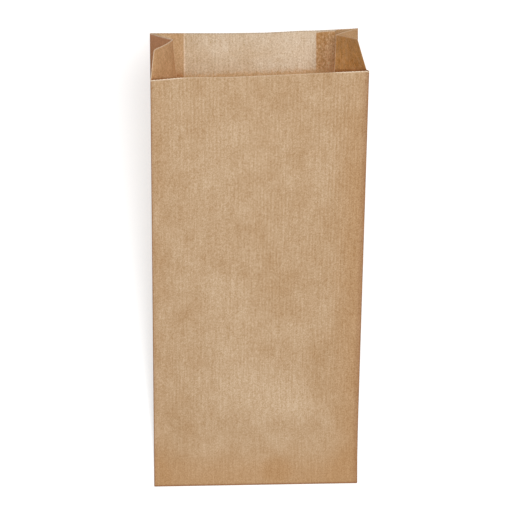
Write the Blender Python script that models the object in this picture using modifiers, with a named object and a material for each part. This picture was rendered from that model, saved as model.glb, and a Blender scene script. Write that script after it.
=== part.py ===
"""Kraft paper bag: one folded and glued sheet, with pleated sides and a glued bottom hem.

The bag lies on its back panel, as it comes to rest, with its mouth a little open.
X runs across the bag, +Y from the hem to the mouth, +Z up from the floor to the front panel.
"""

import math

import bmesh
import bpy

# The tube, in metres
BAG_WIDTH = 0.130
BACK_LENGTH = 0.289
LIP_LENGTH = 0.018
HALF_PLEAT = 0.038

# The sheet: its wall, and the air left between plies that lie on each other
WALL = 0.00025
PLY_GAP = 0.00010

# The open mouth, measured at the front panel's rim
MOUTH_HEIGHT_LEFT = 0.074
MOUTH_HEIGHT_RIGHT = 0.055
CREASE_INSET_LEFT = 0.0135
CREASE_INSET_RIGHT = 0.0172

# The pleats' free corners above the front rim lean inwards
CORNER_LEAN_LEFT = 0.0029
CORNER_LEAN_RIGHT = 0.0067

# The bottom hem: the flat tube's end, folded under the back panel and glued
HEM_LENGTH = 0.018
HEM_THICKNESS = 0.0009
HEM_NOSE = 0.0009
HEM_CAP_LENGTH = 0.0015
HEM_NOSE_SIDES = 6
RAMP_LENGTH = 0.024

# The front panel stays down to this point, then lifts on a soft bend
LIFT_START = 0.010
LIFT_SOFTNESS = 0.05

# The glued overlap that closes the sheet into a tube, on the back panel's inner face
SEAM_WIDTH = 0.0125
SEAM_FROM_EDGE = 0.014
SEAM_STEP = 0.0002
SEAM_ABOVE_RAMP = 0.006
SEAM_BELOW_RIM = 0.0014

# How finely the panels are divided
PANEL_COLUMNS = 10
PLEAT_COLUMNS = 4
FLAT_STATIONS = 4
RAMP_STATIONS = 7
OPEN_STATIONS = 16
LIP_STATIONS = 4

KRAFT = (0.52, 0.35, 0.21, 1.0)

# What follows from the sizes above: the front panel is cut lower than the back by the lip
FRONT_LENGTH = BACK_LENGTH - LIP_LENGTH
RAMP_END = HEM_LENGTH + RAMP_LENGTH
PLY_PITCH = WALL + PLY_GAP
STACK_PLIES = 4


def clear_scene():
    """Remove what the scene holds."""
    for item in list(bpy.data.objects):
        bpy.data.objects.remove(item, do_unlink=True)


def new_collection(name):
    """Add a collection to the scene."""
    collection = bpy.data.collections.new(name)
    bpy.context.scene.collection.children.link(collection)
    return collection


def kraft_material():
    """Plain brown kraft paper."""
    material = bpy.data.materials.new("kraft_paper")
    material.use_nodes = True
    shader = material.node_tree.nodes["Principled BSDF"]
    shader.inputs["Base Color"].default_value = KRAFT
    shader.inputs["Roughness"].default_value = 0.8
    shader.inputs["Metallic"].default_value = 0.0
    material.diffuse_color = KRAFT
    return material


def smooth_step(value):
    """Ease from 0 to 1."""
    value = min(max(value, 0.0), 1.0)
    return value * value * (3.0 - 2.0 * value)


def lift(length):
    """Share of the mouth's height that the front fold has reached at a length along the tube."""
    def rise(along):
        way = max(along - LIFT_START, 0.0) / (FRONT_LENGTH - LIFT_START)
        return math.hypot(way, LIFT_SOFTNESS) - LIFT_SOFTNESS
    return rise(length) / rise(FRONT_LENGTH)


def underside(length):
    """Height of the back panel's lower face: on the hem, down a ramp, then on the floor."""
    return HEM_THICKNESS * (1.0 - smooth_step((length - HEM_LENGTH) / RAMP_LENGTH))


def stations():
    """Lengths along the tube at which its section is set."""
    runs = (
        (0.0, LIFT_START, FLAT_STATIONS),
        (LIFT_START, RAMP_END, RAMP_STATIONS),
        (RAMP_END, FRONT_LENGTH, OPEN_STATIONS),
        (FRONT_LENGTH, BACK_LENGTH, LIP_STATIONS),
    )
    lengths = [0.0]
    for start, end, count in runs:
        lengths += [start + (end - start) * step / count for step in range(1, count + 1)]
    return lengths


def reach(length, mouth_height, steps=60):
    """Distance along Y that a fold line of this length covers as it rises."""
    total = 0.0
    for step in range(steps):
        start = length * step / steps
        end = length * (step + 1) / steps
        rise = (lift(end) - lift(start)) * mouth_height
        total += math.sqrt(max((end - start) ** 2 - rise ** 2, 0.0))
    return total


class Side:
    """One pleated side of the tube: its fold lines at a length along it."""

    def __init__(self, sign, mouth_height, crease_inset, corner_lean):
        self.sign = sign
        self.mouth_height = mouth_height
        self.corner_lean = corner_lean
        self.edge = sign * BAG_WIDTH / 2
        half_mouth = mouth_height * lift(BACK_LENGTH) / 2
        self.draw_in = (HALF_PLEAT ** 2 - crease_inset ** 2) / half_mouth ** 2

    def back(self, length):
        """The fold between the back panel and the pleat."""
        return self.edge, length, underside(length) + WALL / 2

    def front(self, length):
        """The fold between the front panel and the pleat, or the pleat's free edge above it."""
        above = max(length - FRONT_LENGTH, 0.0) / (BACK_LENGTH - FRONT_LENGTH)
        across = self.edge - self.sign * self.corner_lean * above
        height = self.mouth_height * lift(length)
        base = underside(length) + WALL / 2 + (STACK_PLIES - 1) * PLY_PITCH
        return across, reach(length, self.mouth_height), base + height

    def crease(self, length):
        """The inward fold in the middle of the pleat."""
        half_open = self.mouth_height * lift(length) / 2
        inset = math.sqrt(max(HALF_PLEAT ** 2 - self.draw_in * half_open ** 2, 0.0))
        back = self.back(length)
        front = self.front(length)
        middle = [(low + high) / 2 for low, high in zip(back, front)]
        return self.edge - self.sign * inset, middle[1], middle[2]


def between(start, end, share):
    """A point on the line between two points."""
    return tuple(low + (high - low) * share for low, high in zip(start, end))


def raised(point, height):
    """A point moved up."""
    return point[0], point[1], point[2] + height


def run(start, end, count):
    """Points from start towards end, without the end."""
    return [between(start, end, step / count) for step in range(count)]


def pleat_points(side, length):
    """The pleat's section, from the front fold to the back fold."""
    front = raised(side.front(length), -PLY_PITCH)
    crease = side.crease(length)
    back = raised(side.back(length), PLY_PITCH)
    points = run(front, raised(crease, PLY_PITCH / 2), PLEAT_COLUMNS)
    points.append(raised(crease, PLY_PITCH / 2))
    points += run(raised(crease, -PLY_PITCH / 2), back, PLEAT_COLUMNS)
    points.append(back)
    return points


def section(left, right, length):
    """The sheet's middle surface at one station, as a closed loop that starts at the front left."""
    points = run(left.front(length), right.front(length), PANEL_COLUMNS)
    points.append(right.front(length))
    points += pleat_points(right, length)
    points += run(right.back(length), left.back(length), PANEL_COLUMNS)
    points.append(left.back(length))
    points += reversed(pleat_points(left, length))
    return points


def folded_sheet(left, right, material, collection):
    """The whole sheet as one lofted surface with a wall."""
    mesh = bpy.data.meshes.new("paper_bag")
    sheet = bmesh.new()
    rows = []
    lengths = stations()
    for length in lengths:
        above_front_rim = length > FRONT_LENGTH + WALL
        row = []
        for place, point in enumerate(section(left, right, length)):
            on_front = place <= PANEL_COLUMNS
            row.append(None if above_front_rim and on_front else sheet.verts.new(point))
        rows.append(row)
    for lower, upper in zip(rows, rows[1:]):
        for place in range(len(lower)):
            following = (place + 1) % len(lower)
            corners = (lower[place], upper[place], upper[following], lower[following])
            if None not in corners:
                sheet.faces.new(corners)
    bmesh.ops.recalc_face_normals(sheet, faces=sheet.faces)
    sheet.to_mesh(mesh)
    sheet.free()
    mesh.materials.append(material)
    bag = bpy.data.objects.new("paper_bag", mesh)
    collection.objects.link(bag)
    wall = bag.modifiers.new("wall", "SOLIDIFY")
    wall.thickness = WALL
    wall.offset = 0.0
    wall.use_even_offset = True
    return bag


def as_guide(guide):
    """Keep a shape that only serves a union out of sight."""
    guide.hide_render = True
    guide.display_type = "WIRE"
    return guide


def hem_profile():
    """The hem seen from the side: the flap under the back panel and a rounded nose around the plies."""
    top = HEM_THICKNESS + STACK_PLIES * WALL + (STACK_PLIES - 1) * PLY_GAP + PLY_GAP
    flap_top = HEM_THICKNESS + WALL / 2
    outline = [(HEM_LENGTH, 0.0), (HEM_LENGTH, flap_top), (HEM_CAP_LENGTH, flap_top), (HEM_CAP_LENGTH, top)]
    for step in range(HEM_NOSE_SIDES + 1):
        turn = math.pi * step / HEM_NOSE_SIDES
        outline.append((-HEM_NOSE * math.sin(turn), top / 2 + top / 2 * math.cos(turn)))
    return outline


def hem(collection):
    """The folded bottom strip as one bar across the bag."""
    mesh = bpy.data.meshes.new("hem")
    bar = bmesh.new()
    start = [bar.verts.new((-BAG_WIDTH / 2, along, up)) for along, up in hem_profile()]
    face = bar.faces.new(start)
    swept = bmesh.ops.extrude_face_region(bar, geom=[face])
    moved = [item for item in swept["geom"] if isinstance(item, bmesh.types.BMVert)]
    bmesh.ops.translate(bar, verts=moved, vec=(BAG_WIDTH, 0.0, 0.0))
    bmesh.ops.recalc_face_normals(bar, faces=bar.faces)
    bar.to_mesh(mesh)
    bar.free()
    guide = bpy.data.objects.new("hem", mesh)
    collection.objects.link(guide)
    return as_guide(guide)


def seam(collection):
    """The sheet's inner end, glued over its outer end along the back panel."""
    start = RAMP_END + SEAM_ABOVE_RAMP
    length = BACK_LENGTH - SEAM_BELOW_RIM - start
    height = SEAM_STEP + WALL / 2
    mesh = bpy.data.meshes.new("seam")
    strip = bmesh.new()
    bmesh.ops.create_cube(strip, size=1.0)
    bmesh.ops.scale(strip, verts=strip.verts, vec=(SEAM_WIDTH, length, height))
    middle = (
        BAG_WIDTH / 2 - SEAM_FROM_EDGE - SEAM_WIDTH / 2,
        start + length / 2,
        WALL + SEAM_STEP - height / 2,
    )
    bmesh.ops.translate(strip, verts=strip.verts, vec=middle)
    strip.to_mesh(mesh)
    strip.free()
    guide = bpy.data.objects.new("seam", mesh)
    collection.objects.link(guide)
    return as_guide(guide)


def unite(target, guide):
    """Join a shape to the sheet."""
    union = target.modifiers.new(guide.name, "BOOLEAN")
    union.operation = "UNION"
    union.solver = "EXACT"
    union.object = guide


def stand_on_centre(collection, pieces):
    """Hang the pieces on an empty that puts the middle of the footprint at the origin."""
    centre = bpy.data.objects.new("footprint_centre", None)
    collection.objects.link(centre)
    centre.location.y = -(BACK_LENGTH - HEM_NOSE) / 2
    for piece in pieces:
        piece.parent = centre


def build():
    """Model the bag."""
    clear_scene()
    parts = new_collection("paper_bag")
    guides = new_collection("guides")
    left = Side(-1, MOUTH_HEIGHT_LEFT, CREASE_INSET_LEFT, CORNER_LEAN_LEFT)
    right = Side(1, MOUTH_HEIGHT_RIGHT, CREASE_INSET_RIGHT, CORNER_LEAN_RIGHT)
    bag = folded_sheet(left, right, kraft_material(), parts)
    pieces = (hem(guides), seam(guides))
    for guide in pieces:
        unite(bag, guide)
    stand_on_centre(parts, (bag, *pieces))


build()
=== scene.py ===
"""A brown kraft paper bag with pleated sides, lying on its back panel with its mouth a little open."""

import math

import bpy
import numpy as np
from bpy.props import FloatProperty, FloatVectorProperty, PointerProperty
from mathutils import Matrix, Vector


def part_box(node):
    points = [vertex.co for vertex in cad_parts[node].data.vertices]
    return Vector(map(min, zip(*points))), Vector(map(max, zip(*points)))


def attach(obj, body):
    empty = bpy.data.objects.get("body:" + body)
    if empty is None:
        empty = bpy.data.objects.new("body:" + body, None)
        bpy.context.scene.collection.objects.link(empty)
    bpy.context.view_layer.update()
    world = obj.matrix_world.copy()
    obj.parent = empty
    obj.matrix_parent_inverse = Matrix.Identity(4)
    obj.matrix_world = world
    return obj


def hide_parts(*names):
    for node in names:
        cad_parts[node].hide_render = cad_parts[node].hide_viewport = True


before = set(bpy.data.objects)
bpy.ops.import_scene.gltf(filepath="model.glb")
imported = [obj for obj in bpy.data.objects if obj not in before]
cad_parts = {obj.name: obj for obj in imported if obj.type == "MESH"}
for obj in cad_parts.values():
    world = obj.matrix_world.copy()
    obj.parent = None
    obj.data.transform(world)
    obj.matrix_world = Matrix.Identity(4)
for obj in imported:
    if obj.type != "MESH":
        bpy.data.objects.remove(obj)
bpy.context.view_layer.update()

bl_info = {
    "name": "Kraft Paper Bag",
    "version": (1, 0, 0),
    "blender": (4, 5, 0),
    "location": "3D View > Sidebar > Paper Bag",
    "description": "Builds a pleated kraft paper bag, its paper finish and a plain studio stage",
    "category": "Add Mesh",
}

BAG_NODE = "paper_bag"
MM = 0.001
RIGHT = np.array((1.0, 0.0, 0.0))
UP = np.array((0.0, 0.0, 1.0))
SHARP_FOLD = math.radians(60)
CAMERA_REACH = 20.0
WHITE = (1.0, 1.0, 1.0, 1.0)

_, NODE_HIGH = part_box(BAG_NODE)


def from_screen(red, green, blue):
    """A colour read from a screen, 0 to 255, as linear light."""
    def linear(part):
        share = part / 255
        return share / 12.92 if share <= 0.04045 else ((share + 0.055) / 1.055) ** 2.4
    return linear(red), linear(green), linear(blue)


def smooth_step(value):
    """Ease from 0 to 1, for numbers and arrays."""
    share = np.clip(value, 0.0, 1.0)
    return share * share * (3.0 - 2.0 * share)


def facing(points, along):
    """The direction square to a strip of points and to its directions along the sheet."""
    normal = np.cross(points[-1] - points[0], along.mean(axis=0))
    return normal / np.linalg.norm(normal)


def metres(name, description, default):
    """A size in metres."""
    return FloatProperty(
        name=name, description=description, default=default, min=0.0, precision=5, unit="LENGTH"
    )


def number(name, description, default, least=0.0, unit="NONE"):
    """A plain number, or a lens size in millimetres."""
    return FloatProperty(name=name, description=description, default=default, min=least, unit=unit)


def degrees(name, description, default):
    """An angle, given here in degrees."""
    return FloatProperty(
        name=name, description=description, default=math.radians(default), subtype="ANGLE", unit="ROTATION"
    )


def paint(name, description, screen_colour):
    """A paint colour."""
    return FloatVectorProperty(
        name=name, description=description, default=from_screen(*screen_colour), size=3,
        min=0.0, max=1.0, subtype="COLOR",
    )


class BagSizes(bpy.types.PropertyGroup):
    """Sizes of the folded sheet."""

    width: metres("Width", "Across the front and back panels", 0.130)
    back_length: metres("Back length", "From the bottom fold to the back panel's rim", 0.289)
    lip_length: metres("Lip", "How much lower the front panel is cut than the back", 0.0188)
    half_pleat: metres("Half pleat", "From a side fold to the pleat's inward crease", 0.038)
    wall: metres("Paper", "Thickness of one ply", 0.00012)
    ply_gap: metres("Ply gap", "Air between plies that lie on each other", 0.00004)
    mouth_left: metres("Mouth, left", "Height of the front rim's left end", 0.074)
    mouth_right: metres("Mouth, right", "Height of the front rim's right end", 0.055)
    inset_left: metres("Crease inset, left", "How far it stands in at the rim", 0.0135)
    inset_right: metres("Crease inset, right", "How far it stands in at the rim", 0.0172)
    hold_left: number("Crease hold, left", "How far down it keeps its inset", 1.5, 1.0)
    hold_right: number("Crease hold, right", "How far down it keeps its inset", 1.85, 1.0)
    lean_left: metres("Corner lean, left", "How far the pleat's free corner leans in", 0.0021)
    lean_right: metres("Corner lean, right", "How far the pleat's free corner leans in", 0.0064)
    slit_inset: metres("Slit inset", "How far inside the right fold the pleat is slit", 0.0022)
    taper_right: metres("Taper, right", "How far the back fold draws in at the rim", 0.0006)
    corner_radius_left: metres("Corner radius, left", "Rounding of the free corner", 0.0024)
    corner_radius_right: metres("Corner radius, right", "Rounding of the free corner", 0.0010)
    hem_length: metres("Hem", "Length of the strip folded under the back panel", 0.018)
    ramp_length: metres("Ramp", "Over which the back panel comes down behind the hem", 0.024)
    lift_start: metres("Lift start", "Where the front panel starts to lift", 0.010)
    seam_width: metres("Seam", "Width of the glued lengthwise overlap", 0.0125)
    seam_from_edge: metres("Seam place", "From the right side fold to the seam's cut edge", 0.014)
    tooth_depth: metres("Tooth depth", "Depth of the serrated cut at the rims", 0.00024)
    column_width: metres("Column width", "Width of one column of faces, half a tooth", 0.00098)
    lift_softness: number("Lift softness", "How gently the front panel bends up", 0.05, 0.001)


class PaperFinish(bpy.types.PropertyGroup):
    """Colours and grain of the paper."""

    light: paint("Light kraft", "Palest patches outside", (204, 174, 140))
    dark: paint("Dark kraft", "Darkest patches outside", (183, 146, 106))
    # Warm kraft is also painted shade on the pleats towards the mouth.
    warm: paint("Warm kraft", "Orange tone near the hem, the folds and the mouth", (183, 141, 97))
    # Painted shade: the left pleat's outside near the mouth, darker and redder where it lies in the
    # groove's shade.
    groove_shade: paint("Groove", "Outside of the left pleat near the mouth", (184, 121, 76))
    inside: paint("Inside", "The left border and the left pleat's back half", (200, 163, 122))
    sand: paint("Sand", "Inside of the left pleat's front half", (208, 162, 116))
    # Painted shade: the right pleat's inner face, darker and more orange as it lies in shade.
    shaded_amber: paint("Amber", "Inside of the right pleat", (208, 150, 85))
    # The pale inner back panel is partly paler paper and partly painted light shining through the back
    # panel.
    pale: paint("Pale inside", "Palest patches of the back panel's inner face", (230, 210, 184))
    pale_dark: paint("Pale inside, darker", "Its darkest patches", (203, 174, 138))
    shade: paint("Shade", "Deeper down inside", (207, 168, 122))
    # Painted shadow: the dark line behind the front rim, in the left corner and beside the left crease.
    contact_shadow: paint("Contact", "The dark line behind the front rim", (166, 108, 60))
    glue: paint("Glued seam", "Where glue has darkened the seam", (194, 146, 94))
    glue_light: paint("Glue gaps", "Where glue is missing in the seam", (231, 197, 154))
    # The cut colour is also a painted highlight along the creases inside.
    cut: paint("Cut edge", "Torn fibres at the cut edges", (246, 226, 200))
    # Painted shade: the dark lines along the folds and creases, where the paper turns away from the light.
    fold: paint("Fold line", "The worn lines along the folds", (146, 96, 62))
    rib_pitch: metres("Rib pitch", "Distance between the paper's ribs", 0.00221)
    fray: metres("Fray", "Width of the pale fibres along a cut", 0.00085)
    bump_depth: metres("Relief", "Depth of the ribs and fibres", 0.00003)


class StageSettings(bpy.types.PropertyGroup):
    """Floor, lights and camera."""

    floor_size: metres("Floor size", "Side of the floor", 6.0)
    floor_colour: paint("Floor", "Pale floor", (214, 214, 214))
    floor_glow: number("Floor glow", "Whitening of the floor as seen", 0.55)
    room_light: number("Room light", "Strength of the even light", 0.56)
    key_light: number("Key light", "How bright the lamp alone shows a white floor", 0.47)
    key_size: metres("Key size", "Diameter of the key lamp", 1.3)
    key_distance: metres("Key distance", "From the frame's origin to the lamp", 2.4)
    key_from: FloatVectorProperty(
        name="Key from", description="Direction that the key light comes from", size=3,
        default=(0.21, 0.12, 0.97), subtype="DIRECTION",
    )
    camera_distance: metres("Camera distance", "From the lens to the aimed point", 1.1377)
    camera_aim: FloatVectorProperty(
        name="Camera aim", description="Point on the floor that the camera looks at", size=3,
        default=(0.00294, 0.00042, 0.0), subtype="TRANSLATION", unit="LENGTH",
    )
    camera_tilt: degrees("Camera tilt", "Lean towards the mouth", 6.89)
    camera_turn: degrees("Camera turn", "Lean towards the left side", 3.42)
    camera_roll: degrees("Camera roll", "Turn of the picture", -0.145)
    lens: number("Lens", "Focal length", 124.5, 1.0, "CAMERA")
    sensor: number("Sensor", "Sensor width", 36.0, 1.0, "CAMERA")


# Shallow swells of the front panel: across, along, reach across, reach along, height.
FRONT_SWELLS = np.array((
    (12, 46, 40, 14, 1.1),
    (10, 14, 30, 14, -0.6),
    (-30, 110, 20, 50, 0.5),
    (34, 130, 18, 60, -0.5),
    (-10, 200, 30, 30, 0.5),
    (20, 245, 30, 20, -0.4),
)) * MM


class Side:
    """One pleated side of the bag: its three fold lines at a length along it."""

    SAMPLES = 400
    SAMPLED_SHARE = 1.02

    def __init__(self, sheet, sign, mouth, inset, lean, taper, hold):
        self.sheet = sheet
        self.sign = sign
        self.mouth = mouth
        self.lean = lean
        self.taper = taper
        self.hold = hold
        self.edge = sign * sheet.sizes.width / 2
        self.rim_lift = sheet.lift(sheet.sizes.back_length)
        self.draw_in = sheet.sizes.half_pleat ** 2 - inset ** 2
        # How far along the floor the front fold has come at each length, as the paper doesn't stretch.
        self.lengths = np.linspace(0.0, sheet.sizes.back_length * self.SAMPLED_SHARE, self.SAMPLES)
        rises = np.diff([sheet.lift(length) * mouth for length in self.lengths])
        steps = np.sqrt(np.maximum(np.diff(self.lengths) ** 2 - rises ** 2, 0.0))
        self.reaches = np.concatenate(([0.0], np.cumsum(steps)))

    def back(self, length):
        """The fold between the back panel and the pleat, which draws in over its last quarter."""
        near_rim = smooth_step(length / self.sheet.sizes.back_length * 4 - 3)
        across = self.edge - self.sign * self.taper * near_rim
        return np.array((across, length, self.sheet.underside(length) + self.sheet.sizes.wall / 2))

    def front(self, length):
        """The fold between the front panel and the pleat, or the pleat's free edge above it."""
        sheet = self.sheet
        above = max(length - sheet.front_length, 0.0) / sheet.sizes.lip_length
        across = self.edge - self.sign * self.lean * above
        stack = sheet.underside(length) + sheet.sizes.wall / 2 + sheet.stack_height
        height = stack + self.mouth * sheet.lift(length)
        return np.array((across, np.interp(length, self.lengths, self.reaches), height))

    def folds(self, length):
        """The back fold, the front fold and the crease, which is the inward fold between them."""
        back, front = self.back(length), self.front(length)
        shut = max(1.0 - self.sheet.lift(length) / self.rim_lift, 0.0)
        opened = 1.0 - shut ** self.hold
        inset = math.sqrt(self.sheet.sizes.half_pleat ** 2 - self.draw_in * opened ** 2)
        crease = (back + front) / 2
        crease[0] = self.edge - self.sign * inset
        return back, front, crease


class Columns:
    """The columns of points across the sheet: the stretch that each is in, and its place there."""

    ARC_STEPS = 5

    def __init__(self, stretches, column_width):
        names = []
        places = []
        self.shares = {}
        start = 0.0
        for name, width in stretches:
            if width:
                count = 2 * round(width / column_width / 2)
                shares = np.arange(count + 1) / count
            else:
                shares = np.arange(1, self.ARC_STEPS) / self.ARC_STEPS
            self.shares[name] = shares
            names += [name] * len(shares)
            places.append(start + shares * width)
            start += width
        self.names = np.array(names)
        self.sheet_across = np.concatenate(places)
        self.count = len(names)

    def within(self, *stretches):
        """Which columns lie in these stretches."""
        return np.isin(self.names, stretches)


class FoldedSheet:
    """The bag's single sheet, as rows of points along it and columns across it.

    A point's sheet coordinates are its distance across the flat sheet, from the inner cut edge of the
    seam, its distance along it from the bottom fold, and its distance from the nearest cut edge.
    """

    # The back rim's stray from square, in millimetres: place across the bag, then distance.
    BACK_CUT = (
        (-65, -2.0), (-45, -2.0), (-20, -2.1), (6, -1.8), (17, -1.3), (28, -0.7),
        (40, -0.5), (51, 0.05), (60, 0.45), (65, 0.85),
    )
    # Each fold with the stretches before and after it and the side to which it bulges.
    FOLDS = {
        "fold_back_left": ("seam_panel", "left_back", -1),
        "crease_left": ("left_back", "left_front", 1),
        "fold_front_left": ("left_front", "front_panel", -1),
        "fold_front_right": ("front_panel", "right_front", 1),
        "crease_right": ("right_front", "right_back", -1),
        "fold_back_right": ("right_back", "outer_end", 1),
    }
    # How far the middle of each pleat's half bows out of its plane at the open mouth.
    PLEAT_BOWS = {
        "left_back": 0.6 * MM,
        "left_front": -0.8 * MM,
        "right_front": 0.6 * MM,
        "right_back": -0.6 * MM,
    }
    RIPPLE = 0.12 * MM
    HEM_ROWS = 6
    NOSE_ROWS = 7
    # Lengths over which the seam's step, the slit's trim and the rims' stray from square come in.
    SEAM_STEP = 2 * MM
    SLIT_STEP = 0.4 * MM
    FRONT_CUT_EASE = 30 * MM
    BACK_CUT_EASE = 16 * MM
    # Insets across the pleat over which the slit's trim dies out, and the back rim's share of a tooth.
    SLIT_SPREAD = 4
    BACK_TOOTH_SHARE = 0.5
    # Half the length from which a direction along the sheet is read, and more than any of its lengths.
    PROBE = 0.1 * MM
    FAR = 1.0

    def __init__(self, sizes):
        self.sizes = sizes
        self.front_length = sizes.back_length - sizes.lip_length
        self.pitch = sizes.wall + sizes.ply_gap
        # Flat, the stack has five plies: back panel, seam, both halves of a pleat and front panel.
        self.stack_height = 4 * self.pitch
        self.hem_rise = 5 * self.pitch
        self.left = Side(
            self, -1, sizes.mouth_left, sizes.inset_left, sizes.lean_left, 0.0, sizes.hold_left
        )
        self.right = Side(
            self, 1, sizes.mouth_right, sizes.inset_right, sizes.lean_right, sizes.taper_right,
            sizes.hold_right,
        )
        self.seam_edge = sizes.width / 2 - sizes.seam_from_edge
        self.seam_end = self.seam_edge - sizes.seam_width
        self.lengths = self.tube_lengths()
        self.columns = Columns(self.stretches(), sizes.column_width)
        self.in_front = self.columns.within("fold_front_left", "front_panel", "fold_front_right")
        self.on_front = self.columns.within("front_panel")
        self.tooth = np.where(np.arange(self.columns.count) % 2, 0.5, -0.5) * sizes.tooth_depth
        self.seam_lift = self.seam_lifts()
        self.front_cut = self.front_cuts()
        self.back_cut = self.back_cuts()
        front_rim = self.front_length + self.front_cut
        self.rim = np.where(self.in_front, front_rim, sizes.back_length + self.back_cut)
        self.edge_away = self.distances(("seam_panel", 0), ("outer_end", -1))
        self.slit_away = self.distances(("left_front", -1), ("right_front", 0))

    def lift(self, length):
        """Share of the mouth's height that the front fold has reached."""
        def rise(along):
            way = max(along - self.sizes.lift_start, 0.0) / (self.front_length - self.sizes.lift_start)
            return math.hypot(way, self.sizes.lift_softness) - self.sizes.lift_softness
        return rise(length) / rise(self.front_length)

    def underside(self, length):
        """Height of the back panel's lower face: on the hem, down a ramp, then on the floor."""
        down = smooth_step((length - self.sizes.hem_length) / self.sizes.ramp_length)
        return self.hem_rise * (1.0 - down)

    def stretches(self):
        """The sheet's panels and folds in order, from the inner cut edge to the outer one, with widths."""
        half = self.sizes.width / 2
        pleat = self.sizes.half_pleat
        widths = {"seam_panel": self.seam_edge + half, "front_panel": self.sizes.width}
        found = []
        for fold, (before, _, _) in self.FOLDS.items():
            found += [(before, widths.get(before, pleat)), (fold, 0.0)]
        return [*found, ("outer_end", half - self.seam_end)]

    def tube_lengths(self):
        """Lengths of the rows from the bottom fold to the rim, closer where the sheet bends or is cut."""
        front = self.front_length
        back = self.sizes.back_length
        runs = (
            (self.sizes.hem_length + self.sizes.ramp_length, 2.0 * MM),
            (front - 8 * MM, 6.0 * MM),
            (front - 1 * MM, 1.8 * MM),
            (front, 0.5 * MM),
            (front + 0.4 * MM, 0.4 * MM),
            (back - 5 * MM, 1.4 * MM),
            (back, 0.7 * MM),
        )
        lengths = [0.0]
        for end, spacing in runs:
            start = lengths[-1]
            count = math.ceil((end - start) / spacing)
            lengths += [start + (end - start) * step / count for step in range(1, count)]
            lengths.append(end)
        return lengths

    def section(self, length):
        """The folded sheet's points at one length, before its cuts and swells."""
        ply = self.pitch * UP
        back_left, front_left, crease_left = self.left.folds(length)
        back_right, front_right, crease_right = self.right.folds(length)
        outer_end = back_right + (self.seam_end - back_right[0]) * RIGHT
        seam_edge = back_right + (self.seam_edge - back_right[0]) * RIGHT
        ends = {
            "seam_panel": (seam_edge, back_left),
            "left_back": (back_left + 2 * ply, crease_left - ply / 2),
            "left_front": (crease_left + ply / 2, front_left - ply),
            "front_panel": (front_left, front_right),
            "right_front": (front_right - ply, crease_right + ply / 2),
            "right_back": (crease_right - ply / 2, back_right + 2 * ply),
            "outer_end": (back_right, outer_end),
        }
        points = []
        for name, shares in self.columns.shares.items():
            share = shares[:, None]
            if name in ends:
                start, end = ends[name]
                points.append(start + (end - start) * share)
                continue
            before, after, side = self.FOLDS[name]
            start, end = ends[before][1], ends[after][0]
            outward = side * np.linalg.norm(start - end) / 2 * RIGHT
            turn = math.pi * share
            points.append((start + end) / 2 + (start - end) / 2 * np.cos(turn) + outward * np.sin(turn))
        return np.concatenate(points)

    def seam_lifts(self):
        """How far each column is raised where the seam's inner ply lies on its outer one."""
        across = self.section(0.0)[:, 0]
        share = smooth_step((across - self.seam_end + self.SEAM_STEP) / self.SEAM_STEP)
        return np.where(self.columns.within("seam_panel"), share, 0.0) * self.pitch

    def front_cuts(self):
        """How far the front rim strays from square: a low rise at the left, a chamfer at the right end."""
        across = self.section(0.0)[:, 0]
        rise = 0.95 * MM * np.exp(-((across + 44 * MM) / (17 * MM)) ** 2)
        chamfer = 0.5 * MM * smooth_step((across - 63.4 * MM) / (1.6 * MM))
        return np.where(self.in_front, rise - chamfer, 0.0)

    def back_cuts(self):
        """How far the back rim strays from square, which dies out across the pleats' back halves."""
        columns = self.columns
        places, cuts = zip(*self.BACK_CUT)
        stray = np.interp(self.section(self.sizes.back_length)[:, 0] / MM, places, cuts) * MM
        fades = (
            ("left_back", 0, 1.0 - columns.shares["left_back"]),
            ("right_back", -1, columns.shares["right_back"]),
        )
        for name, fold, fade in fades:
            chosen = columns.within(name)
            stray[chosen] = stray[chosen][fold] * fade
        stray[columns.within("crease_left", "left_front", "right_front", "crease_right")] = 0.0
        return stray

    def distances(self, *cuts):
        """Each column's distance from the lengthwise cut at one end of its stretch, or FAR."""
        across = self.columns.sheet_across
        away = np.full(self.columns.count, self.FAR)
        for stretch, end in cuts:
            chosen = self.columns.within(stretch)
            away[chosen] = np.abs(across[chosen] - across[chosen][end])
        return away

    def bottom_rows(self):
        """The rows of the hem, from its cut end on, and of the fold where it turns up into the tube."""
        sizes = self.sizes
        flat = self.section(0.0)
        flat[:, 2] += self.seam_lift
        axis = self.hem_rise - sizes.ply_gap / 2
        radius = flat[:, 2] - axis
        nose_length = math.pi * self.pitch * 2
        rows = []
        for step in range(self.HEM_ROWS + 1):
            away = sizes.hem_length * (1.0 - step / self.HEM_ROWS)
            row = flat.copy()
            row[:, 1] = away
            row[:, 2] = axis - radius
            if step == 0:
                row[:, 1] += self.tooth
            cut_away = np.minimum(sizes.hem_length - away, self.edge_away)
            rows.append((row, np.full(self.columns.count, -away - nose_length), cut_away))
        for step in range(1, self.NOSE_ROWS):
            turn = math.pi * (1.0 - step / self.NOSE_ROWS)
            row = flat.copy()
            row[:, 1] = -radius * math.sin(turn)
            row[:, 2] = axis + radius * math.cos(turn)
            along = np.full(self.columns.count, -nose_length * turn / math.pi)
            rows.append((row, along, self.edge_away))
        return rows

    def tube_row(self, length):
        """One row of the tube: its points, their lengths on the sheet and their distances from a cut."""
        along = self.section(length + self.PROBE) - self.section(max(length - self.PROBE, 0.0))
        along /= self.PROBE + min(self.PROBE, length)
        shift = self.cut_shift(length)
        sideways = np.zeros(self.columns.count)
        cut_away = self.edge_away
        if length >= self.front_length:
            round_shift, sideways = self.round_corners(self.sizes.back_length - length)
            shift = shift + round_shift
            cut_away = np.minimum(cut_away, np.maximum(self.slit_away - np.abs(sideways), 0.0))
            sideways = sideways + self.slit_trim(length)
        cut_away = np.minimum(cut_away, np.abs(self.rim - (length + shift)))
        row = self.section(length) + along * shift[:, None]
        row += self.pleat_tangents(length) * sideways[:, None]
        self.add_swells(row, along, length)
        return row, length + shift, cut_away

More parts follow.
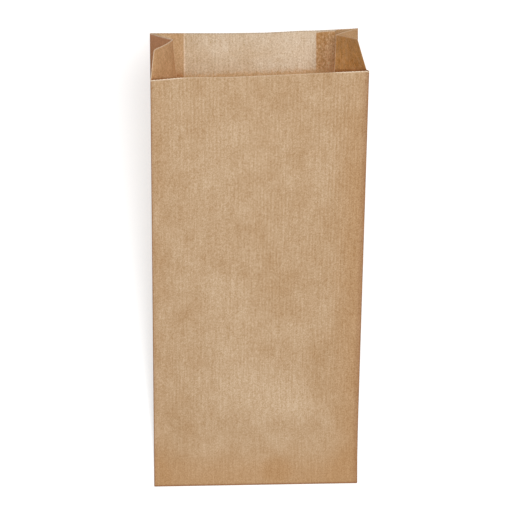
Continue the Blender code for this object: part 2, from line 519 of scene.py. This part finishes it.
    def cut_shift(self, length):
        """Shifts along the sheet that bring its rows to the rims' cuts and teeth."""
        near_front = smooth_step((length - self.front_length) / self.FRONT_CUT_EASE + 1.0)
        near_back = smooth_step((length - self.sizes.back_length) / self.BACK_CUT_EASE + 1.0)
        shift = np.where(self.in_front, self.front_cut * near_front, self.back_cut * near_back)
        if length == self.front_length:
            shift = shift + np.where(self.on_front, self.tooth, 0.0)
        if length == self.sizes.back_length:
            shift = shift + self.tooth * self.BACK_TOOTH_SHARE
        return shift

    def slit_trim(self, length):
        """Shifts across the right pleat that bring its free edge inside the fold, as the slit is cut."""
        inset = self.sizes.slit_inset
        begun = smooth_step((length - self.front_length) / self.SLIT_STEP)
        trim = begun * np.clip(inset - self.slit_away / self.SLIT_SPREAD, 0.0, inset)
        return np.where(self.columns.within("right_front"), trim, 0.0)

    def round_corners(self, rim_away):
        """Shifts along and across the sheet that round the pleats' free corners."""
        shift = np.zeros(self.columns.count)
        sideways = np.zeros(self.columns.count)
        corners = (
            ("left_front", self.sizes.corner_radius_left),
            ("right_front", self.sizes.corner_radius_right),
        )
        for name, radius in corners:
            if rim_away >= radius:
                continue
            near = self.columns.within(name) & (self.slit_away < radius)
            to_slit = radius - self.slit_away[near]
            to_rim = radius - rim_away
            scale = np.maximum(to_slit, to_rim) / np.hypot(to_slit, to_rim)
            shift[near] = to_rim * scale - to_rim
            sideways[near] = to_slit - to_slit * scale
        return shift, sideways

    def pleat_tangents(self, length):
        """Directions from each pleat's free edge towards its crease, for the front halves."""
        tangents = np.zeros((self.columns.count, 3))
        for name, side in (("left_front", self.left), ("right_front", self.right)):
            _, front, crease = side.folds(length)
            tangents[self.columns.within(name)] = (crease - front) / np.linalg.norm(crease - front)
        return tangents

    def front_swell(self, across, along):
        """The front panel's shallow swells, which die out at its folds and over the hem."""
        half = self.sizes.width / 2
        at_folds = np.clip(1.0 - (across / half) ** 4, 0.0, 1.0)
        at_hem = smooth_step((along - 4 * MM) / (24 * MM))
        swell = sum(
            height * np.exp(-((across - middle) / reach) ** 2 - ((along - place) / reach_along) ** 2)
            for middle, place, reach, reach_along, height in FRONT_SWELLS
        )
        ripple = np.sin(across * 150.0 + 2.0 * np.sin(along * 21.0)) * np.sin(along * 26.0 + 1.3)
        return (swell + self.RIPPLE * ripple) * at_folds * at_hem

    def add_swells(self, row, along, length):
        """Add the front panel's swells, the pleats' soft bows and the seam's step to a row."""
        swell = self.front_swell(row[self.on_front][:, 0], length)
        row[self.on_front] += swell[:, None] * facing(row[self.on_front], along[self.on_front])
        for name, bow in self.PLEAT_BOWS.items():
            chosen = self.columns.within(name)
            height = bow * self.lift(length) * np.sin(math.pi * self.columns.shares[name])
            row[chosen] += height[:, None] * facing(row[chosen], along[chosen])
        row[:, 2] += self.seam_lift

    def fill(self, mesh):
        """Write the sheet into a mesh, with its sheet coordinates in millimetres as an attribute."""
        rows = self.bottom_rows()
        front_row = len(rows) + self.lengths.index(self.front_length)
        rows += [self.tube_row(length) for length in self.lengths]
        places = np.concatenate([points for points, _, _ in rows])
        places[:, 1] += NODE_HIGH[1] - self.sizes.back_length
        kept = np.ones((len(rows), self.columns.count), dtype=bool)
        kept[front_row + 1:, self.in_front] = False
        numbers = (np.cumsum(kept) - 1).reshape(kept.shape)
        whole = kept[:-1, :-1] & kept[:-1, 1:] & kept[1:, 1:] & kept[1:, :-1]
        corners = (numbers[:-1, :-1], numbers[:-1, 1:], numbers[1:, 1:], numbers[1:, :-1])
        faces = np.stack([corner[whole] for corner in corners], axis=1)
        mesh.from_pydata(places[kept.ravel()].tolist(), [], faces.tolist())
        sheet = np.stack((
            np.tile(self.columns.sheet_across, len(rows)),
            np.concatenate([along for _, along, _ in rows]),
            np.concatenate([away for _, _, away in rows]),
        ), axis=1)[kept.ravel()] / MM
        layer = mesh.attributes.new("sheet", "FLOAT_VECTOR", "POINT")
        layer.data.foreach_set("vector", sheet.astype(np.float32).ravel())
        mesh.update()


def operator(operation, reflected=False):
    """An operator of Link that adds one Math node."""
    def method(link, other):
        return link.graph.maths(operation, *((other, link) if reflected else (link, other)))
    return method


class Link:
    """A shader socket that takes part in arithmetic by adding Math nodes."""

    def __init__(self, graph, socket):
        self.graph = graph
        self.socket = socket

    def __abs__(self):
        return self.graph.maths("ABSOLUTE", self)

    __add__, __radd__ = operator("ADD"), operator("ADD", reflected=True)
    __sub__, __rsub__ = operator("SUBTRACT"), operator("SUBTRACT", reflected=True)
    __mul__, __rmul__ = operator("MULTIPLY"), operator("MULTIPLY", reflected=True)
    __truediv__, __rtruediv__ = operator("DIVIDE"), operator("DIVIDE", reflected=True)


class Graph:
    """The nodes of a new material or world."""

    SEED_STEP = (7.31, 3.17, 1.0)
    PAPER_IOR = 1.45
    PAPER_SPECULAR = 0.2

    def __init__(self, block):
        self.block = block
        block.use_nodes = True
        self.tree = block.node_tree
        self.tree.nodes.clear()

    def add(self, kind, settings=None, inputs=None, output=0):
        """Add a node: its settings first, then the values or links of its sockets."""
        node = self.tree.nodes.new(kind)
        for key, value in (settings or {}).items():
            setattr(node, key, value)
        for key, value in (inputs or {}).items():
            if isinstance(value, Link):
                self.tree.links.new(value.socket, node.inputs[key])
            else:
                node.inputs[key].default_value = value
        return Link(self, node.outputs[output]) if node.outputs else None

    def maths(self, operation, *values):
        """One Math node on these values."""
        return self.add("ShaderNodeMath", {"operation": operation}, dict(enumerate(values)))

    def rise(self, value, low, high):
        """0 below low, 1 above high, eased between; the other way round where low is above high."""
        settings = {"interpolation_type": "SMOOTHSTEP"}
        ends = {1: low, 2: high, 3: 0.0, 4: 1.0} if low < high else {1: high, 2: low, 3: 1.0, 4: 0.0}
        return self.add("ShaderNodeMapRange", settings, {0: value, **ends})

    def blend(self, share, first, second):
        """Mix two colours."""
        colours = {6: first if isinstance(first, Link) else (*first, 1.0),
                   7: second if isinstance(second, Link) else (*second, 1.0)}
        return self.add("ShaderNodeMix", {"data_type": "RGBA"}, {0: share, **colours}, output=2)

    def noise(self, place, size_across, size_along, seed, detail=2.0, roughness=0.5):
        """Noise on the sheet, about 0.5, with features of these sizes in millimetres."""
        scale = (1 / size_across, 1 / size_along, 0.0)
        start = tuple(seed * step for step in self.SEED_STEP)
        settings = {"operation": "MULTIPLY_ADD"}
        scaled = self.add("ShaderNodeVectorMath", settings, {0: place, 1: scale, 2: start})
        inputs = {"Vector": scaled, "Scale": 1.0, "Detail": detail, "Roughness": roughness}
        return self.add("ShaderNodeTexNoise", {"noise_dimensions": "3D"}, inputs)

    def paper(self, colour, roughness, relief, depth):
        """Finish as a matt surface with a fine relief."""
        bump = self.add("ShaderNodeBump", None, {"Height": relief, "Distance": depth, "Strength": 1.0})
        return self.finish(self.add("ShaderNodeBsdfPrincipled", None, {
            "Base Color": colour, "Roughness": roughness, "IOR": self.PAPER_IOR,
            "Specular IOR Level": self.PAPER_SPECULAR, "Normal": bump,
        }))

    def seen_directly(self):
        """1 for rays from the camera and for those that gloss or glass sends on, else 0."""
        seen = 0.0
        for ray in ("Is Camera Ray", "Is Glossy Ray", "Is Transmission Ray"):
            seen = self.maths("MAXIMUM", seen, self.add("ShaderNodeLightPath", output=ray))
        return seen

    def finish(self, shader, output="ShaderNodeOutputMaterial"):
        """Send the shader to the output."""
        self.add(output, None, {"Surface": shader})
        return self.block


# Placed patches of the outer face, its uneven tone with the painted light and shade of the front panel's
# swells: strength, across, along, reach across, reach along, any slant.
TONE_AND_SHADE_PATCHES = (
    (0.36, 262, 62, 26, 22, -0.4),
    (0.24, 240, 112, 24, 30),
    (0.18, 233, 222, 26, 22),
    (0.14, 294, 216, 12, 24),
    (-0.24, 299, 80, 13, 26),
    (-0.3, 209, 36, 13, 34),
    (-0.14, 268, 140, 14, 24),
    (0.13, 232, 74, 28, 24),
    (0.3, 198, 108, 5, 22),
    (0.18, 217, 146, 16, 22),
    (-0.16, 309, 188, 12, 24),
)
RIB_PATCHES = (
    (0.62, 306, 192, 15, 108),
    (0.55, 220, 247, 26, 42),
    (0.4, 267, 180, 12, 66),
    (0.4, 296, 16, 22, 16),
)


class SheetGraph(Graph):
    """A material painted in the flat sheet's own coordinates, in millimetres.

    The places are those of the folds and of the left border across the sheet at its default size.
    Along it, the front rim lies at about 270 and the back rim at 289.
    """

    BORDER = 95.0
    BACK_LEFT = 116.0
    CREASE_LEFT = 154.0
    FRONT_LEFT = 192.0
    FRONT_RIGHT = 322.0
    CREASE_RIGHT = 360.0
    BACK_RIGHT = 398.0
    GRAIN_TURN = 0.6

    def __init__(self, name):
        super().__init__(bpy.data.materials.new(name))
        self.place = self.add("ShaderNodeAttribute", {"attribute_name": "sheet"}, None, output=1)
        self.across, self.along, self.cut_away = (
            self.add("ShaderNodeSeparateXYZ", None, {0: self.place}, output=part) for part in range(3)
        )
        # Turned, so that the finest noise shows no weave along the sheet.
        turn = {0: self.place, "Angle": self.GRAIN_TURN}
        self.turned = self.add("ShaderNodeVectorRotate", {"rotation_type": "Z_AXIS"}, turn)
        self.on_left_pleat = self.between(self.across, self.BACK_LEFT, self.FRONT_LEFT)
        self.on_right_pleat = self.between(self.across, self.FRONT_RIGHT, self.BACK_RIGHT)
        self.on_back_panel = self.rise(self.across, self.BACK_LEFT + 0.5, self.BACK_LEFT - 0.5)

    def band(self, value, middle, reach):
        """1 on a line, easing to 0 at this reach to either side."""
        return self.rise(abs(value - middle), reach, 0.0)

    def between(self, value, low, high, soft=0.5):
        """1 from low to high, easing to 0 outside them."""
        return self.rise(value, low - soft, low + soft) * self.rise(value, high + soft, high - soft)

    def patch(self, across, along, reach_across, reach_along, slant=0.0):
        """A soft patch of the sheet: 1 in its middle."""
        beside = (self.across - across - (self.along - along) * slant) / reach_across
        above = (self.along - along) / reach_along
        return self.rise(beside * beside + above * above, 1.6, 0.0)

    def patches(self, placed):
        """The sum of placed patches, each by its strength."""
        return sum(self.patch(*place) * strength for strength, *place in placed)

    def clouds(self, size, seed):
        """Soft uneven patches, about 0."""
        return self.noise(self.place, size, size * 1.3, seed, detail=3.0, roughness=0.55) - 0.5

    def ribs(self, pitch):
        """The paper's ribs along the bag, about 0, which waver a little and come and go."""
        waver = self.noise(self.place, 30.0, 60.0, 3.0, detail=1.0) * 1.6
        wave = self.maths("SINE", (self.across + waver) * (2 * math.pi / pitch))
        uneven = self.rise(self.noise(self.place, 34.0, 70.0, 5.0, detail=1.0), 0.38, 0.62)
        return wave * (uneven * 0.25 + self.patches(RIB_PATCHES) + 0.18)

    def fibres(self, rougher=0.0):
        """Fine fibres and specks, about 0, which stand out more where rougher is 1."""
        grain = self.noise(self.turned, 0.6, 0.72, 11.5, detail=1.0) - 0.5
        specks = self.noise(self.turned, 1.7, 2.1, 13.5, detail=1.0) - 0.5
        threads = self.noise(self.place, 0.9, 16.0, 17.0, detail=1.0) - 0.5
        grain = grain * (rougher * 0.3 + 1.95)
        return grain + specks * (rougher + 0.22) + threads * (rougher * 0.4 + 0.75)

    def panel_folds(self):
        """1 on the bottom fold and on the folds beside the front and back panels."""
        found = self.band(self.along, -0.1, 1.0)
        for fold in (self.BACK_LEFT, self.FRONT_LEFT, self.FRONT_RIGHT, self.BACK_RIGHT):
            found = self.maths("MAXIMUM", found, self.band(self.across, fold, 0.6))
        return found

    def creases(self):
        """1 on the pleats' inward creases."""
        left = self.band(self.across, self.CREASE_LEFT, 0.7)
        return self.maths("MAXIMUM", left, self.band(self.across, self.CREASE_RIGHT, 0.7))

    def scaled(self, colour, factor):
        """The colour made brighter or darker."""
        return self.add("ShaderNodeVectorMath", {"operation": "SCALE"}, {0: colour, "Scale": factor})

    def grained(self, colour, grain):
        """The colour with a grain about 0, strongest in blue: pale fibres whiter, dark ones browner."""
        parts = {0: 1.0 + grain * 0.84, 1: 1.0 + grain * 1.16, 2: 1.0 + grain * 1.68}
        tint = self.add("ShaderNodeCombineXYZ", None, parts)
        return self.add("ShaderNodeVectorMath", {"operation": "MULTIPLY"}, {0: colour, 1: tint})

    def torn(self):
        """How pale the torn cut is: most at the front rim's ends, then on the left pleat."""
        on_front = self.between(self.across, self.FRONT_LEFT, self.FRONT_RIGHT)
        at_ends = self.rise(self.across, 214.0, 208.0) + self.rise(self.across, 299.0, 306.0)
        on_pleats = self.on_left_pleat * 0.5 + self.on_right_pleat * 0.2
        return on_front * (at_ends * 0.55 + 0.14) + on_pleats + 0.03

    def frayed(self, colour, finish):
        """The colour with pale torn fibres along the cut edges."""
        fray = finish.fray / MM
        ragged = self.noise(self.place, 1.1, 1.1, 23.0) * 2.4 - 0.2
        share = self.rise(self.cut_away, fray, fray * 0.35) * ragged * self.torn()
        share = self.maths("MAXIMUM", self.maths("MINIMUM", share, 1.0), 0.0)
        return self.blend(share, colour, finish.cut)


def outside_colour(graph, ribs, finish):
    """The outer face's colour before its fibres: uneven kraft with the painted light and shade of the
    front panel's swells, warmer by the hem and folds, and painted shade along the folds, in the left
    groove and on the pleats towards the mouth.
    """
    rise, across, along = graph.rise, graph.across, graph.along
    scuff = graph.patch(270.0, 9.0, 11.0, 9.0) * 0.25
    tone = graph.clouds(70.0, 1.0) * 0.5 + graph.clouds(13.0, 2.0) * 1.2 + 0.52
    # Uneven tone, with the painted light and shade of the front panel's swells.
    tone = tone + graph.patches(TONE_AND_SHADE_PATCHES) + rise(along, 100.0, 60.0) * 0.08 - scuff
    colour = graph.blend(tone + ribs * 0.17, finish.dark, finish.light)
    near_hem = rise(along, 32.0, 2.0) * 0.7
    at_left = rise(across, 207.0, 195.0) * (rise(along, 60.0, 10.0) * 0.3 + 0.2)
    at_right = rise(across, 297.0, 319.0) * rise(along, 310.0, 190.0) * 0.68
    warmth = graph.maths("MINIMUM", near_hem + at_left + at_right + scuff, 0.9)
    colour = graph.blend(warmth, colour, finish.warm)
    # Painted shade on the pleats, growing towards the mouth.
    mouth_shade = rise(along, 205.0, 268.0) * 0.78 + 0.12
    on_pleats = graph.on_left_pleat + graph.on_right_pleat
    colour = graph.blend(on_pleats * mouth_shade, colour, finish.warm)
    # Painted shade in the left pleat's groove, strongest near the mouth.
    in_groove = graph.between(across, graph.BACK_LEFT, graph.CREASE_LEFT, 2.0)
    by_mouth = rise(along - (across - graph.BACK_LEFT) * 0.3, 196.0, 276.0)
    colour = graph.blend(in_groove * by_mouth * 0.8, colour, finish.groove_shade)
    # Painted shade beside the front panel's folds and along every fold and crease.
    beside_right = graph.band(across, graph.FRONT_RIGHT, 4.5) * 0.4
    beside_left = graph.band(across, graph.FRONT_LEFT, 2.5) * 0.16
    colour = graph.blend(beside_right + beside_left, colour, finish.fold)
    shaded = graph.maths("MAXIMUM", graph.panel_folds(), graph.creases())
    return graph.blend(shaded * 0.7, colour, finish.fold)


def outside_paper(finish):
    """The ribbed, machine glazed outer face of the kraft."""
    graph = SheetGraph("kraft_outside")
    ribs = graph.ribs(finish.rib_pitch / MM)
    fibres = graph.fibres()
    even = graph.rise(graph.along, 70.0, 6.0) * -0.1 + 0.46
    colour = graph.grained(outside_colour(graph, ribs, finish), fibres * even)
    colour = graph.frayed(colour, finish)
    relief = ribs * 0.35 + fibres * 0.5 + 0.5
    roughness = graph.clouds(5.0, 7.0) * 0.1 + 0.62
    return graph.paper(colour, roughness, relief, finish.bump_depth)


def inside_panels(graph, finish):
    """The inner face's colours: the pale back panel, partly painted light shining through it, the borders,
    and the two pleats, the right one in painted shade.
    """
    across = graph.across
    uneven = graph.clouds(3.6, 53.0) * -1.4 + 0.8
    # Painted shade on the right pleat's inner face.
    colour = graph.blend(graph.on_right_pleat * uneven, finish.inside, finish.shaded_amber)
    on_left_front = graph.between(across, graph.CREASE_LEFT, graph.FRONT_LEFT)
    colour = graph.blend(on_left_front, colour, finish.sand)
    on_back = graph.rise(across, graph.BORDER, graph.BORDER - 0.8)
    # Painted light shining through the back panel, palest towards the right, on a paler inner paper.
    paler = graph.rise(across, 94.0, 10.0) * 0.5 + graph.clouds(24.0, 43.0) * 1.4 + 0.3
    return graph.blend(on_back, colour, graph.blend(paler, finish.pale_dark, finish.pale))


def glued_seam(graph, colour, finish):
    """The colour with the dark strip where the seam is glued, flecked where glue is missing."""
    rise, across, along = graph.rise, graph.across, graph.along
    flecks = graph.noise(graph.place, 1.15, 2.0, 37.0, roughness=0.6)
    # Painted light: a lighter lane in the glue beside the right crease, against the pleat's shade.
    lit_lane = rise(across, 8.5, 4.5) * 0.45
    bare = rise(flecks, 0.4, 0.66) * 0.8 + graph.clouds(6.0, 47.0) * 0.35 + lit_lane
    bare = bare - rise(along, 277.0, 284.0) * 0.35
    on_glue = rise(across, 12.9, 12.3) * rise(across * 0.09 + along, 288.5, 287.9)
    return graph.blend(on_glue, colour, graph.blend(bare, finish.glue, finish.glue_light))


def left_border(graph, colour, finish):
    """The colour with the pale line at the left border's edge and the mark of its curled corner."""
    above = graph.along - graph.across * 0.35 - 246.6
    curled = graph.between(above, 0.0, 1.8) * graph.between(graph.across, 103.0, 115.0)
    colour = graph.blend(curled * 0.7, colour, finish.pale_dark)
    edge = graph.band(graph.across, graph.BORDER - 0.2, 0.9)
    return graph.blend(edge * 0.6, colour, finish.cut)


def inside_shade(graph, colour, finish):
    """Painted shade: the colour darkened below the front rim, along the pleats and in the left corner."""
    rise, across, along = graph.rise, graph.across, graph.along
    ragged = graph.noise(graph.place, 1.1, 2.4, 41.0, detail=1.0) * 6.0
    ragged = ragged + along + across * 0.043 - 0.5
    below = rise(ragged, 269.5, 265.7) * (rise(ragged, 205.0, 264.0) * 0.65 + 0.25)
    colour = graph.blend(below * graph.on_back_panel, colour, finish.shade)
    on_left_front = graph.between(across, graph.CREASE_LEFT, graph.FRONT_LEFT)
    on_right_front = graph.between(across, graph.FRONT_RIGHT, graph.CREASE_RIGHT)
    left_height = along - (across - graph.CREASE_LEFT) * 0.154 + 2.0
    right_height = along - (graph.CREASE_RIGHT - across) * 0.088
    height = graph.maths("MAXIMUM", on_left_front * left_height, on_right_front * right_height)
    behind_rim = rise(height, 268.4, 267.0) * rise(height, 200.0, 240.0)
    colour = graph.blend(behind_rim * 0.8, colour, finish.contact_shadow)
    at_rim = rise(ragged, 266.2, 264.4) * 0.1
    corner = rise(across, graph.BORDER - 1.0, graph.BORDER + 2.0) * rise(along, 264.0, 260.4)
    dark = graph.maths("MAXIMUM", at_rim, corner * 0.62)
    colour = graph.blend(dark * graph.on_back_panel, colour, finish.contact_shadow)
    by_crease = rise(across, 166.0, 155.0) * on_left_front
    return graph.blend(by_crease * 0.3, colour, finish.contact_shadow)


def inside_light(graph):
    """Painted light: how much brighter the inner face is painted than its colours, place by place, deeper
    inside and beside the right crease, less at the back panel's cut, which is painted shade.
    """
    rise, across, along = graph.rise, graph.across, graph.along
    deeper = rise(along, 288.0, 264.0) * 0.1 + rise(along, 271.0, 262.0) * 0.1
    light_by_crease = rise(across, 9.5, 4.5) * rise(along, 289.0, 276.0) * 0.26
    border = graph.between(across, graph.BORDER, 115.5) * 0.05
    shade_at_cut = rise(graph.cut_away, 1.0, 0.4) * graph.on_back_panel * 0.2
    return 1.0 + deeper + light_by_crease + border - shade_at_cut


def inside_paper(finish):
    """The rougher inner face, palest on the back panel, partly painted light shining through it, darkest
    along the glued seam, with painted shade and highlights.
    """
    graph = SheetGraph("kraft_inside")
    fibres = graph.fibres(graph.on_left_pleat + graph.on_right_pleat)
    ribs = graph.ribs(finish.rib_pitch / MM)
    colour = inside_panels(graph, finish)
    colour = glued_seam(graph, colour, finish)
    colour = left_border(graph, colour, finish)
    colour = inside_shade(graph, colour, finish)
    # Painted shade in the inner face's folds.
    colour = graph.blend(graph.panel_folds() * 0.6, colour, finish.fold)
    # Painted highlight along the creases.
    colour = graph.blend(graph.creases() * (graph.on_right_pleat * 0.3 + 0.15), colour, finish.cut)
    colour = graph.scaled(colour, inside_light(graph))
    colour = graph.grained(colour, graph.clouds(9.0, 31.0) * 0.25 + fibres * 0.42 + ribs * 0.03)
    colour = graph.frayed(colour, finish)
    return graph.paper(colour, 0.75, fibres * 0.8 + 0.5, finish.bump_depth)


def cut_paper(finish):
    """The sheet's cut edge."""
    graph = SheetGraph("kraft_cut")
    fibres = graph.fibres()
    torn = graph.maths("MINIMUM", graph.torn() * (fibres + 1.3), 1.0)
    colour = graph.blend(torn, finish.inside, finish.cut)
    return graph.paper(colour, 0.8, fibres + 0.5, finish.bump_depth)


def floor_paint(stage):
    """A pale matt floor that looks white where no shadow falls on it."""
    graph = Graph(bpy.data.materials.new("floor"))
    matt = graph.add("ShaderNodeBsdfDiffuse", None, {"Color": (*stage.floor_colour, 1.0)})
    strength = graph.seen_directly() * stage.floor_glow
    glow = graph.add("ShaderNodeEmission", None, {"Color": WHITE, "Strength": strength})
    return graph.finish(graph.add("ShaderNodeAddShader", None, {0: matt, 1: glow}))


def fresh_object(name, data):
    """A new object in the scene, in place of an older one of that name."""
    old = bpy.data.objects.get(name)
    if old:
        bpy.data.objects.remove(old)
    made = bpy.data.objects.new(name, data)
    bpy.context.scene.collection.objects.link(made)
    return made


class BuildBag(bpy.types.Operator):
    """Build the folded bag and its paper"""

    bl_idname = "paper_bag.build_bag"
    bl_label = "Bag"
    bl_options = {"REGISTER", "UNDO"}

    def execute(self, context):
        sizes = context.scene.bag_sizes
        finish = context.scene.paper_finish
        mesh = bpy.data.meshes.new("kraft_bag")
        FoldedSheet(sizes).fill(mesh)
        for material in (outside_paper(finish), inside_paper(finish), cut_paper(finish)):
            mesh.materials.append(material)
        mesh.shade_smooth()
        mesh.set_sharp_from_angle(angle=SHARP_FOLD)
        bag = fresh_object("kraft_bag", mesh)
        paper = bag.modifiers.new("Paper", "SOLIDIFY")
        paper.thickness = sizes.wall
        paper.offset = 0.0
        paper.use_even_offset = True
        paper.material_offset = 1
        paper.material_offset_rim = 2
        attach(bag, "root")
        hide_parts(BAG_NODE)
        return {"FINISHED"}


class BuildStage(bpy.types.Operator):
    """Build the floor, the lights and the camera"""

    bl_idname = "paper_bag.build_stage"
    bl_label = "Stage"
    bl_options = {"REGISTER", "UNDO"}

    def execute(self, context):
        stage = context.scene.stage_settings
        scene = context.scene
        self.lay_floor(stage)
        self.light_room(scene, stage)
        self.hang_lamp(stage)
        self.set_camera(scene, stage)
        scene.view_settings.view_transform = "Standard"
        return {"FINISHED"}

    def lay_floor(self, stage):
        """One large pale square under the bag."""
        half = stage.floor_size / 2
        mesh = bpy.data.meshes.new("floor")
        corners = [(-half, -half, 0.0), (half, -half, 0.0), (half, half, 0.0), (-half, half, 0.0)]
        mesh.from_pydata(corners, [], [(0, 1, 2, 3)])
        mesh.materials.append(floor_paint(stage))
        fresh_object("floor", mesh)

    def light_room(self, scene, stage):
        """An even room that looks white behind everything."""
        graph = Graph(bpy.data.worlds.new("room"))
        strength = graph.seen_directly() * (1.0 - stage.room_light) + stage.room_light
        air = graph.add("ShaderNodeBackground", None, {"Color": WHITE, "Strength": strength})
        scene.world = graph.finish(air, "ShaderNodeOutputWorld")

    def hang_lamp(self, stage):
        """A broad soft lamp above the bag's right side."""
        light = bpy.data.lights.new("key", "AREA")
        light.shape = "DISK"
        light.size = stage.key_size
        # The power at which a white floor straight below the lamp shows the wanted brightness.
        light.energy = stage.key_light * math.pi ** 2 * stage.key_distance ** 2
        lamp = fresh_object("key", light)
        toward = Vector(stage.key_from).normalized()
        lamp.location = toward * stage.key_distance
        lamp.rotation_euler = toward.to_track_quat("Z", "Y").to_euler()

    def set_camera(self, scene, stage):
        """A long lens that looks down on the bag, nearly square to it."""
        data = bpy.data.cameras.new("camera")
        data.lens = stage.lens
        data.sensor_width = stage.sensor
        data.clip_end = CAMERA_REACH
        camera = fresh_object("camera", data)
        camera.rotation_mode = "ZXY"
        camera.rotation_euler = (-stage.camera_tilt, -stage.camera_turn, stage.camera_roll)
        back = camera.rotation_euler.to_matrix() @ Vector((0.0, 0.0, 1.0))
        camera.location = Vector(stage.camera_aim) + back * stage.camera_distance
        scene.camera = camera


class BagPanel(bpy.types.Panel):
    """The bag's settings and its build buttons"""

    bl_idname = "VIEW3D_PT_paper_bag"
    bl_label = "Paper Bag"
    bl_space_type = "VIEW_3D"
    bl_region_type = "UI"
    bl_category = "Paper Bag"

    def draw(self, context):
        groups = (
            (context.scene.bag_sizes, BuildBag),
            (context.scene.paper_finish, None),
            (context.scene.stage_settings, BuildStage),
        )
        for group, builder in groups:
            box = self.layout.box()
            for name in group.bl_rna.properties.keys():
                if name not in ("rna_type", "name"):
                    box.prop(group, name)
            if builder:
                box.operator(builder.bl_idname)


SETTINGS = {"bag_sizes": BagSizes, "paper_finish": PaperFinish, "stage_settings": StageSettings}
CLASSES = (*SETTINGS.values(), BuildBag, BuildStage, BagPanel)


def register():
    """Add the settings, the operators and the panel."""
    for item in CLASSES:
        bpy.utils.register_class(item)
    for name, group in SETTINGS.items():
        setattr(bpy.types.Scene, name, PointerProperty(type=group))


def unregister():
    """Take them away again."""
    for name in SETTINGS:
        delattr(bpy.types.Scene, name)
    for item in reversed(CLASSES):
        bpy.utils.unregister_class(item)


def main():
    """Build everything."""
    register()
    bpy.ops.paper_bag.build_bag()
    bpy.ops.paper_bag.build_stage()


if __name__ == "__main__":
    main()
